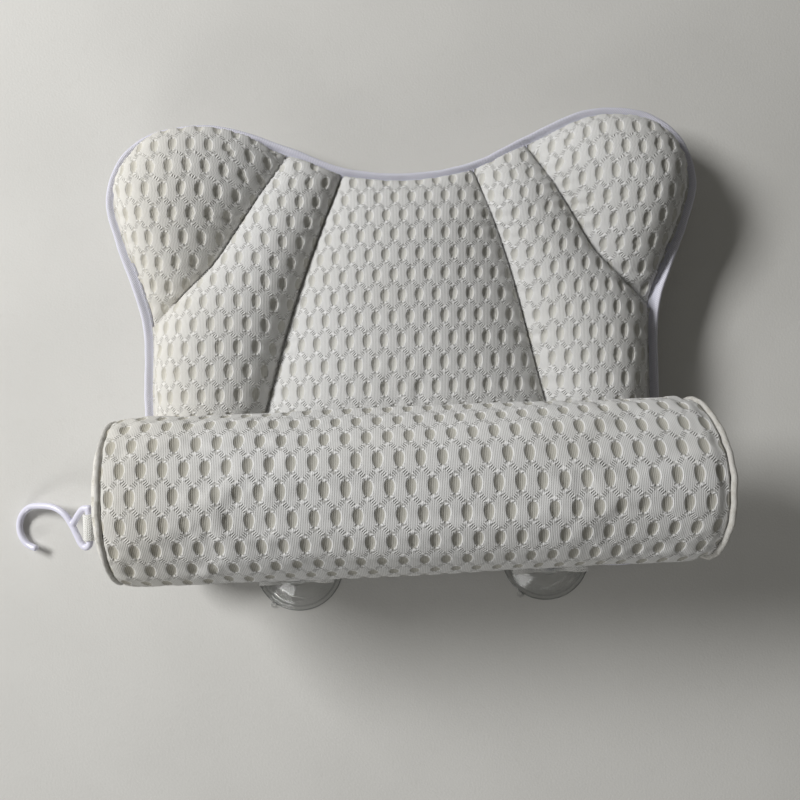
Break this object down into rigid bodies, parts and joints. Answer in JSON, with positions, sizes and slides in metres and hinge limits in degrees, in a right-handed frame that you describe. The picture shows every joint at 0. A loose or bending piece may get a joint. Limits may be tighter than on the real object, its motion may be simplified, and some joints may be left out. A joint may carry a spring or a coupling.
{
  "type": "bath pillow",
  "caption": "Quilted butterfly-shaped bath pillow with a fold-over neck roll, suction cups buttoned into webbing loops and a drying hook on a strap.",
  "frame": {"origin": "bottom centre of the box round the whole pillow, on the flat surface that the suction cups stand on", "axes": "+X to the right along the neck roll, +Y from the roll up the panel towards its wings, +Z away from the surface that the cups hold"},
  "size_m": [0.4492, 0.3168, 0.1355],
  "materials": {
    "air_mesh": "knitted spacer mesh with sunk oval cells",
    "back_cloth": "fine knitted mesh",
    "binding_tape": "smooth folded polyester tape, stitched",
    "webbing": "flat woven webbing",
    "foam": "open-cell foam",
    "clear_vinyl": "clear soft vinyl",
    "white_plastic": "moulded, satin"
  },
  "bodies": {
    "panel": {"front_cover": "air_mesh", "back_cover": "back_cloth", "edge_binding": "binding_tape", "left_wing_pad": "foam", "left_side_pad": "foam", "centre_pad": "foam", "right_side_pad": "foam", "right_wing_pad": "foam", "left_lower_cup_tab": "webbing", "right_lower_cup_tab": "webbing", "left_middle_cup_tab": "webbing", "right_middle_cup_tab": "webbing", "left_wing_cup_tab": "webbing", "right_wing_cup_tab": "webbing", "hook_strap": "webbing"},
    "roll": {"roll_cover": "air_mesh", "roll_foam_core": "foam", "roll_flap": "back_cloth", "left_roll_end": "air_mesh", "right_roll_end": "air_mesh", "left_roll_piping": "binding_tape", "right_roll_piping": "binding_tape"},
    "hook": {"drying_hook": "white_plastic"},
    "cup_left_lower": {"left_lower_cup": "clear_vinyl"},
    "cup_right_lower": {"right_lower_cup": "clear_vinyl"},
    "cup_left_middle": {"left_middle_cup": "clear_vinyl"},
    "cup_right_middle": {"right_middle_cup": "clear_vinyl"},
    "cup_left_wing": {"left_wing_cup": "clear_vinyl"},
    "cup_right_wing": {"right_wing_cup": "clear_vinyl"}
  },
  "joints": [
    {"name": "roll_fold", "type": "hinge", "parent": "panel", "child": "roll", "pos_m": [0.03761, -0.12658, 0.0289], "axis": [1, 0, 0], "range_deg": [0, 118]},
    {"name": "hook_swing", "type": "hinge", "parent": "panel", "child": "hook", "pos_m": [-0.17039, -0.09458, 0.0184], "axis": [0, 1, 0], "range_deg": [0, 140]},
    {"name": "left_lower_cup_turn", "type": "hinge", "parent": "panel", "child": "cup_left_lower", "pos_m": [-0.03839, -0.12958, 0], "axis": [0, 0, 1], "continuous": true},
    {"name": "right_lower_cup_turn", "type": "hinge", "parent": "panel", "child": "cup_right_lower", "pos_m": [0.12561, -0.12958, 0], "axis": [0, 0, 1], "continuous": true},
    {"name": "left_middle_cup_turn", "type": "hinge", "parent": "panel", "child": "cup_left_middle", "pos_m": [-0.07439, -0.01358, 0], "axis": [0, 0, 1], "continuous": true},
    {"name": "right_middle_cup_turn", "type": "hinge", "parent": "panel", "child": "cup_right_middle", "pos_m": [0.14961, -0.01358, 0], "axis": [0, 0, 1], "continuous": true},
    {"name": "left_wing_cup_turn", "type": "hinge", "parent": "panel", "child": "cup_left_wing", "pos_m": [-0.08439, 0.08642, 0], "axis": [0, 0, 1], "continuous": true},
    {"name": "right_wing_cup_turn", "type": "hinge", "parent": "panel", "child": "cup_right_wing", "pos_m": [0.15961, 0.08642, 0], "axis": [0, 0, 1], "continuous": true}
  ]
}
